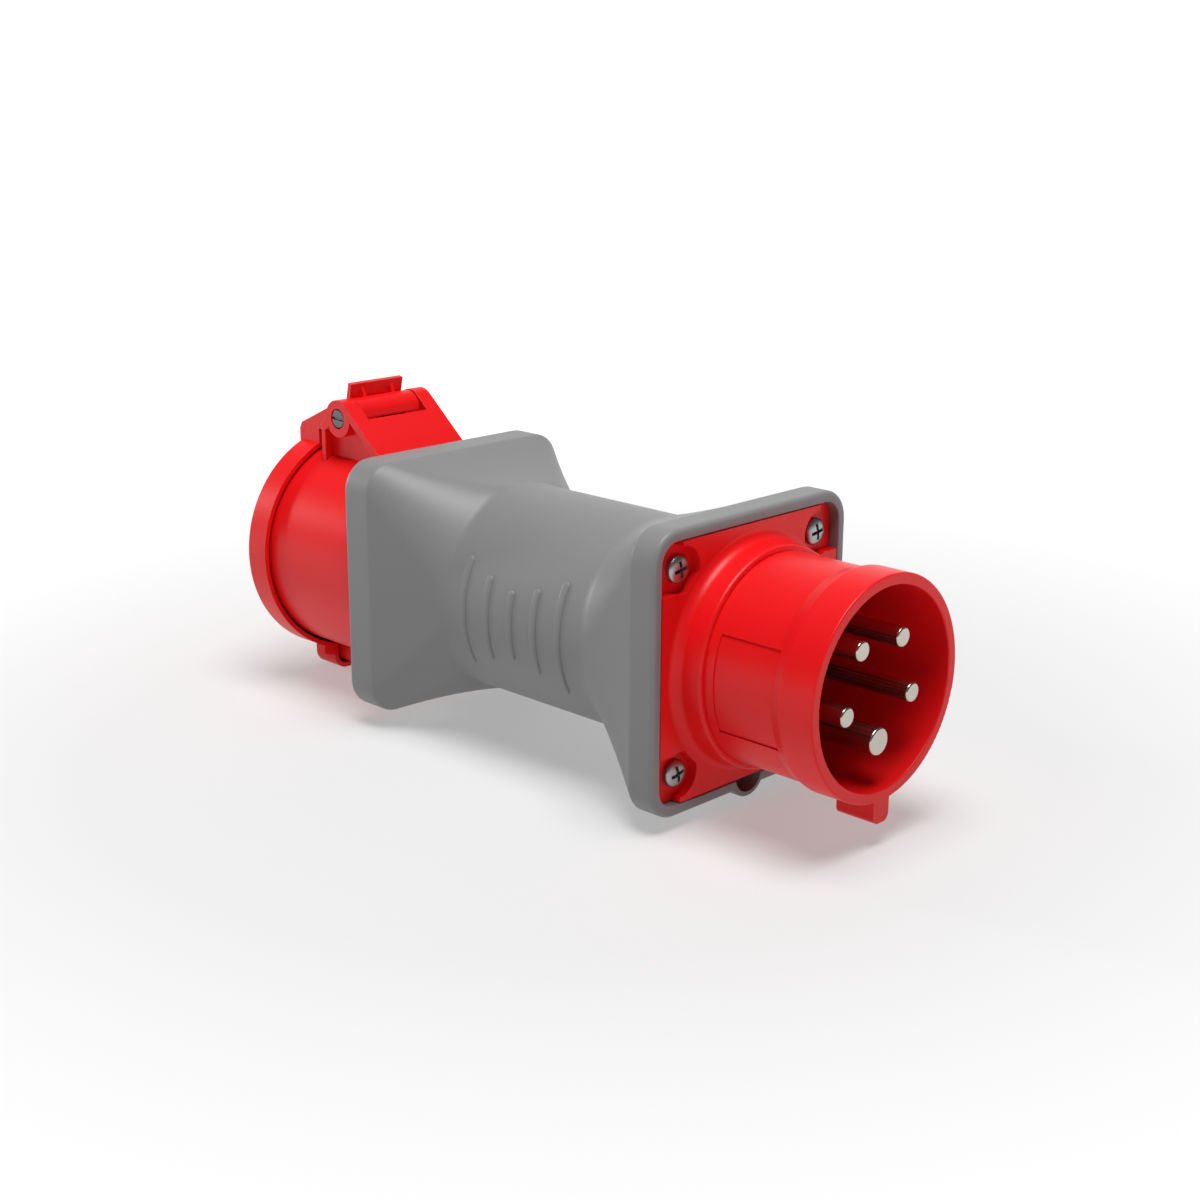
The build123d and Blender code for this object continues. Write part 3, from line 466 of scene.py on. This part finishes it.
def rib_tree():
    """The tree of one rib. A negative height gives the hidden underside that closes it."""
    number = "NodeSocketFloat"
    tree, sizes, result = new_tree("grip_rib", (("Waist radius", number), ("Half turn", number),
                                                ("Width", number), ("Height", number),
                                                ("Place", number), ("Side", number),
                                                ("Finish", "NodeSocketMaterial")))
    link, m = tree.links.new, Maths(tree)
    size = sizes.outputs
    # The strip runs from -1 to 1 along the rib (X) and across it (Y).
    strip = tree.nodes.new("GeometryNodeMeshGrid")
    strip.inputs["Size X"].default_value = 2.0
    strip.inputs["Size Y"].default_value = 2.0
    strip.inputs["Vertices X"].default_value = rib_points_along
    strip.inputs["Vertices Y"].default_value = rib_points_across
    spot = tree.nodes.new("GeometryNodeInputPosition")
    split = tree.nodes.new("ShaderNodeSeparateXYZ")
    link(spot.outputs["Position"], split.inputs[0])
    half_width = m.do("MULTIPLY", size["Width"], 0.5)
    arc = m.do("MULTIPLY", size["Waist radius"], size["Half turn"])
    left = m.do("MULTIPLY", m.do("SUBTRACT", 1.0, m.do("ABSOLUTE", split.outputs["X"])), arc)
    near_end = m.do("MINIMUM", m.do("DIVIDE", left, half_width), 1.0)
    gap = m.do("SUBTRACT", 1.0, near_end)
    taper = m.do("SQRT", m.do("SUBTRACT", 1.0, m.do("MULTIPLY", gap, gap)))
    across = m.do("MULTIPLY", m.do("MULTIPLY", split.outputs["Y"], half_width), taper)
    square = m.do("MULTIPLY", split.outputs["Y"], split.outputs["Y"])
    swell = m.do("SUBTRACT", 1.0, m.do("POWER", square, rib_swell))
    lift = m.do("MULTIPLY", m.do("MULTIPLY", swell, size["Height"]),
                m.do("POWER", taper, rib_end_swell))
    out = m.do("ADD", m.do("SUBTRACT", size["Waist radius"], rib_sink), lift)
    turn = m.do("MULTIPLY", split.outputs["X"], size["Half turn"])
    y = m.do("MULTIPLY", m.do("MULTIPLY", m.do("COSINE", turn), out), size["Side"])
    z = m.do("MULTIPLY", m.do("SINE", turn), out)
    x = m.do("ADD", size["Place"], m.do("MULTIPLY", across, size["Side"]))
    join = tree.nodes.new("ShaderNodeCombineXYZ")
    for value, socket in zip((x, y, z), join.inputs):
        link(value, socket)
    bend = tree.nodes.new("GeometryNodeSetPosition")
    link(strip.outputs["Mesh"], bend.inputs["Geometry"])
    link(join.outputs["Vector"], bend.inputs["Position"])
    close = tree.nodes.new("GeometryNodeMergeByDistance")
    close.inputs["Distance"].default_value = closing_distance
    link(bend.outputs["Geometry"], close.inputs["Geometry"])
    real = tree.nodes.new("GeometryNodeRealizeInstances")
    paint = tree.nodes.new("GeometryNodeSetMaterial")
    link(close.outputs["Geometry"], real.inputs["Geometry"])
    link(real.outputs["Geometry"], paint.inputs["Geometry"])
    link(size["Finish"], paint.inputs["Material"])
    link(paint.outputs["Geometry"], result.inputs["Geometry"])
    return tree


def joined(name, meshes):
    """Several meshes as one, closed where their edges meet."""
    shape = bmesh.new()
    for mesh in meshes:
        shape.from_mesh(mesh)
        bpy.data.meshes.remove(mesh)
    bmesh.ops.remove_doubles(shape, verts=shape.verts, dist=closing_distance)
    bmesh.ops.recalc_face_normals(shape, faces=shape.faces)
    mesh = bpy.data.meshes.new(name)
    shape.to_mesh(mesh)
    shape.free()
    return mesh


rib_maker = rib_tree()
ribs = []
for side in (1.0, -1.0):
    for place, half_turn in rib_places:
        for height in (rib_height, -rib_root):
            ribs.append(grown("rib", rib_maker, {
                "Waist radius": waist_r, "Half turn": radians(half_turn), "Width": rib_width,
                "Height": height, "Place": place, "Side": side, "Finish": grey_plastic}))
grip_ribs = finished("grip_ribs", joined("grip_ribs", ribs), grey_plastic, "body", crease=60.0)


# Plug insert: one glossy red moulding with the shroud, the key, the collar and the square plate
# that four screws hold in the housing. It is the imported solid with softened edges.
moulded_edge = 0.00022
packed_closing_distance, flat_angle = 2e-7, 0.5


def softened(name, node, body, material, width, turn=28.0, segments=2):
    """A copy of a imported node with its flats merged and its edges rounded, in the node's place."""
    shape = bmesh.new()
    shape.from_mesh(nodes[node].data)
    bmesh.ops.remove_doubles(shape, verts=shape.verts, dist=packed_closing_distance)
    bmesh.ops.dissolve_limit(shape, angle_limit=radians(flat_angle), verts=shape.verts,
                             edges=shape.edges, delimit={"NORMAL"})
    mesh = bpy.data.meshes.new(name)
    shape.to_mesh(mesh)
    shape.free()
    piece = finished(name, mesh, material, body, node, crease=turn)
    bevel = piece.modifiers.new("rounded_edges", "BEVEL")
    bevel.width = width
    bevel.segments = segments
    bevel.limit_method = "ANGLE"
    bevel.angle_limit = radians(turn)
    even = piece.modifiers.new("even_shading", "WEIGHTED_NORMAL")
    even.keep_sharp = True
    return piece


red_plastic = moulded_material("red_plastic", colour=(0.76, 0.006, 0.008), roughness=0.36,
                               grain_height=0.000008, specular=0.26)
plug_insert = softened("plug_shroud_and_plate", "plug_insert", "body", red_plastic,
                       moulded_edge)

# Socket insert: the other red moulding, with the barrel, its keyway, the square plate and the
# bracket for the lid's hinge, also with softened edges.
socket_insert = softened("socket_barrel_and_bracket", "socket_insert", "body", red_plastic,
                         moulded_edge)

# Lid: the red cap with its arm, hinge barrel and ribbed thumb tab, moulded in one and softened in
# the same way. It swings on the hinge pin.
lid = softened("lid_cap_and_arm", "lid", "lid", red_plastic, moulded_edge)

# Carriers, core and its face: black insulating blocks that hold the pins and the sleeves. Gaskets
# and the lid's seal: dark rubber, under the flange plates and inside the lid. All of them are the
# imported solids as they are.
black_insulator = moulded_material("black_insulator", colour=(0.022, 0.02, 0.02), roughness=0.5,
                                   grain_height=0.00001, specular=0.4)
dark_rubber = moulded_material("dark_rubber", colour=(0.03, 0.03, 0.032), roughness=0.62,
                               grain_height=0.00002, specular=0.3)


def refinished(material, *names):
    """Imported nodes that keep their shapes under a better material."""
    for name in names:
        nodes[name].material_slots[0].material = material


refinished(black_insulator, "plug_contact_carrier", "socket_contact_carrier", "socket_core",
           "socket_face")
refinished(dark_rubber, "plug_flange_gasket", "socket_flange_gasket", "lid_seal")

# Contact pins: turned brass with nickel plate, each with a rounded tip, a shoulder inside the
# carrier and a terminal behind it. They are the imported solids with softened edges, and their metal
# gets the fine lines of turning, a cloudy tone and an uneven polish from one group.
metal_cloud_per_metre, metal_lines_per_metre, lines_across_per_metre = 420.0, 3000.0, 60.0
metal_tone_variation, polish_variation = 0.1, 0.12
contact_pin_edge = 0.00008


def worked_metal():
    """The shader group that every metal shares."""
    group, entry, leave = new_skin("worked_metal", (
        ("Roughness", 0.3), ("Tone variation", metal_tone_variation),
        ("Lines per metre", metal_lines_per_metre)))
    link, m, vectors = group.links.new, Maths(group), Maths(group, "ShaderNodeVectorMath")
    place = group.nodes.new("ShaderNodeTexCoord").outputs["Object"]
    stretch = group.nodes.new("ShaderNodeCombineXYZ")
    link(entry.outputs["Lines per metre"], stretch.inputs["X"])
    stretch.inputs["Y"].default_value = lines_across_per_metre
    stretch.inputs["Z"].default_value = lines_across_per_metre
    lines = noise(group, vectors.do("MULTIPLY", place, stretch.outputs["Vector"]), scale=1.0,
                  detail=1.0)
    tone = m.do("SUBTRACT", noise(group, place, metal_cloud_per_metre, detail=3.0), 0.5)
    polish = m.do("MULTIPLY_ADD", m.do("SUBTRACT", lines, 0.5), polish_variation,
                  entry.outputs["Roughness"])
    link(toned(group, entry, tone), leave.inputs["Colour"])
    link(polish, leave.inputs["Roughness"])
    link(lines, leave.inputs["Height"])
    return group


metal_skin = worked_metal()


def metal_material(name, colour, roughness, line_depth):
    """A metal in this colour, under the shared worked skin."""
    material, surface = skinned_material(name, metal_skin, colour, roughness, line_depth)
    surface.inputs["Metallic"].default_value = 1.0
    return material


nickel_plate = metal_material("nickel_plate", colour=(0.55, 0.51, 0.45), roughness=0.24,
                              line_depth=0.000004)
for pole in ("earth", "neutral", "l1", "l2", "l3"):
    pin = softened("contact_pin_" + pole, "pin_" + pole, "body", nickel_plate, contact_pin_edge)

# Contact sleeves: turned brass, split along both sides to grip the pins, and held in the carrier.
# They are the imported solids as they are, and show only with the lid open.
contact_brass = metal_material("contact_brass", colour=(0.74, 0.52, 0.22), roughness=0.28,
                               line_depth=0.000004)
refinished(contact_brass, "sleeve_earth", "sleeve_neutral", "sleeve_l1", "sleeve_l2", "sleeve_l3")

# Terminal screws: zinc plated steel, as packed, turned down on the wires. Hinge pin: plain steel
# with a slot, through the bracket's ears and the lid's barrel, with softened edges.
zinc_steel = metal_material("zinc_steel", colour=(0.40, 0.41, 0.42), roughness=0.36,
                            line_depth=0.000003)
pin_steel = metal_material("pin_steel", colour=(0.135, 0.14, 0.145), roughness=0.42,
                           line_depth=0.000003)
hinge_pin_edge = 0.00012
refinished(zinc_steel, "plug_terminal_screws", "socket_terminal_screws")
hinge_pin = softened("slotted_hinge_pin", "hinge_pin", "body", pin_steel, hinge_pin_edge)

# Lid spring: one steel wire round the hinge pin. Its coil and one leg bear on the bracket, and its
# other end sits in a hole of the lid, so that end swings with the lid.
spring_steel = metal_material("spring_steel", colour=(0.42, 0.42, 0.43), roughness=0.3,
                              line_depth=0.000002)
spring_cut_y = 0.00495


def spring_share(name, is_lid_end):
    """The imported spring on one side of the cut, closed where it is cut."""
    shape = bmesh.new()
    shape.from_mesh(nodes["lid_spring"].data)
    bmesh.ops.remove_doubles(shape, verts=shape.verts, dist=packed_closing_distance)
    bmesh.ops.bisect_plane(shape, geom=shape.verts[:] + shape.edges[:] + shape.faces[:],
                           plane_co=(0.0, spring_cut_y, 0.0), plane_no=(0.0, 1.0, 0.0),
                           clear_inner=is_lid_end, clear_outer=not is_lid_end)
    bmesh.ops.holes_fill(shape, edges=[edge for edge in shape.edges if edge.is_boundary])
    bmesh.ops.recalc_face_normals(shape, faces=shape.faces)
    mesh = bpy.data.meshes.new(name)
    shape.to_mesh(mesh)
    shape.free()
    return mesh


spring_coil = finished("spring_coil_and_leg", spring_share("spring_coil_and_leg", False),
                       spring_steel, "body", "lid_spring", crease=50.0)
spring_end = finished("spring_end_in_lid", spring_share("spring_end_in_lid", True),
                      spring_steel, "lid", crease=50.0)

# Flange screws: zinc plated steel with pan heads and a cross recess, four to a flange. One tree
# cuts the recess into a turned blank and sets the four of a flange, each turned a little
# differently.
head_r, head_thick, shank_r, screw_length = 0.0035, 0.0022, 0.00175, 0.012
head_wall, head_flat, shank_tip = 0.45, 0.08, 0.4
dome_steps, screw_points = 8, 64
cross_length, cross_width, cross_depth = 0.0043, 0.0009, 0.0014
screw_half_spacing, screw_turn = 0.02573, 0.25
screw_seats = {"plug_flange_screws": (-0.044, 1.0), "socket_flange_screws": (-0.15432, -1.0)}


def screw_tree():
    """The tree of one flange's four screws, cut and set from a turned blank."""
    number = "NodeSocketFloat"
    tree, sizes, result = new_tree("flange_screws", (
        ("Blank", "NodeSocketObject"), ("Seat", number), ("Half spacing", number),
        ("Cross length", number), ("Cross width", number), ("Cross depth", number),
        ("Head thickness", number), ("Facing", number), ("Seed", "NodeSocketInt"),
        ("Finish", "NodeSocketMaterial")))
    link, m, size = tree.links.new, Maths(tree), sizes.outputs
    blank = tree.nodes.new("GeometryNodeObjectInfo")
    link(size["Blank"], blank.inputs["Object"])
    cut = tree.nodes.new("GeometryNodeMeshBoolean")
    cut.operation = "DIFFERENCE"
    link(blank.outputs["Geometry"], cut.inputs["Mesh 1"])
    depth = m.do("MULTIPLY", size["Cross depth"], 2.0)
    for long_way in (1, 2):
        measure = tree.nodes.new("ShaderNodeCombineXYZ")
        link(depth, measure.inputs[0])
        link(size["Cross length"], measure.inputs[long_way])
        link(size["Cross width"], measure.inputs[3 - long_way])
        bar = tree.nodes.new("GeometryNodeMeshCube")
        link(measure.outputs["Vector"], bar.inputs["Size"])
        seat = tree.nodes.new("ShaderNodeCombineXYZ")
        link(size["Head thickness"], seat.inputs["X"])
        shifted = tree.nodes.new("GeometryNodeTransform")
        link(bar.outputs["Mesh"], shifted.inputs["Geometry"])
        link(seat.outputs["Vector"], shifted.inputs["Translation"])
        link(shifted.outputs["Geometry"], cut.inputs["Mesh 2"])
    corners = tree.nodes.new("GeometryNodeMeshGrid")
    corners.inputs["Vertices X"].default_value = 2
    corners.inputs["Vertices Y"].default_value = 2
    spacing = m.do("MULTIPLY", size["Half spacing"], 2.0)
    link(spacing, corners.inputs["Size X"])
    link(spacing, corners.inputs["Size Y"])
    place = tree.nodes.new("GeometryNodeTransform")
    place.inputs["Rotation"].default_value = (0.0, pi / 2, 0.0)
    seat = tree.nodes.new("ShaderNodeCombineXYZ")
    link(size["Seat"], seat.inputs["X"])
    link(seat.outputs["Vector"], place.inputs["Translation"])
    link(corners.outputs["Mesh"], place.inputs["Geometry"])
    # Of the sockets that share a name, 2 and 3 in and 1 out are the plain numbers.
    turn = tree.nodes.new("FunctionNodeRandomValue")
    turn.inputs[2].default_value = -screw_turn
    turn.inputs[3].default_value = screw_turn
    link(size["Seed"], turn.inputs["Seed"])
    pose = tree.nodes.new("ShaderNodeCombineXYZ")
    link(turn.outputs[1], pose.inputs["X"])
    link(m.do("MULTIPLY", m.do("SUBTRACT", 1.0, size["Facing"]), pi / 2), pose.inputs["Z"])
    spread = tree.nodes.new("GeometryNodeInstanceOnPoints")
    link(place.outputs["Geometry"], spread.inputs["Points"])
    link(cut.outputs["Mesh"], spread.inputs["Instance"])
    link(pose.outputs["Vector"], spread.inputs["Rotation"])
    real = tree.nodes.new("GeometryNodeRealizeInstances")
    paint = tree.nodes.new("GeometryNodeSetMaterial")
    link(spread.outputs["Instances"], real.inputs["Geometry"])
    link(real.outputs["Geometry"], paint.inputs["Geometry"])
    link(size["Finish"], paint.inputs["Material"])
    link(paint.outputs["Geometry"], result.inputs["Geometry"])
    return tree


def circle(radius):
    """Points round the screw's turned section."""
    return [(radius * cos(a), radius * sin(a)) for a in steps(0, 2 * pi, screw_points)[:-1]]


dome = [(head_thick * (head_wall + (1 - head_wall) * sin(a)), head_r * cos(a))
        for a in steps(0, pi / 2 - head_flat, dome_steps)]
blank_loops = [(-screw_length, shank_r * shank_tip), (-screw_length + shank_r, shank_r),
               (0.0, shank_r), (0.0, head_r), *dome]
blank = bpy.data.objects.new("screw_blank", loop_mesh("screw_blank", blank_loops, circle, False))
scene.collection.objects.link(blank)
screw_maker = screw_tree()
for seed, (node, (seat, facing)) in enumerate(screw_seats.items()):
    screws = grown(node + "_heads", screw_maker, {
        "Blank": blank, "Seat": seat, "Half spacing": screw_half_spacing,
        "Cross length": cross_length, "Cross width": cross_width, "Cross depth": cross_depth,
        "Head thickness": head_thick, "Facing": facing, "Seed": seed, "Finish": zinc_steel})
    screws = joined(node + "_heads", [screws])
    finished(node + "_heads", screws, zinc_steel, "body", node, crease=30.0)
bpy.data.objects.remove(blank)

# Wires between the terminals: single cores in the usual colours, held by the terminal screws.
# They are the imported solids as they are, seen only in a cut view.
wire_colours = {"earth": (0.10, 0.32, 0.05), "neutral": (0.02, 0.12, 0.45),
                "l1": (0.16, 0.07, 0.03), "l2": (0.02, 0.02, 0.02), "l3": (0.25, 0.25, 0.25)}
for pole, colour in wire_colours.items():
    insulation = moulded_material("wire_" + pole, colour, roughness=0.45, grain_height=0.000006,
                                  specular=0.5)
    refinished(insulation, "wire_" + pole)
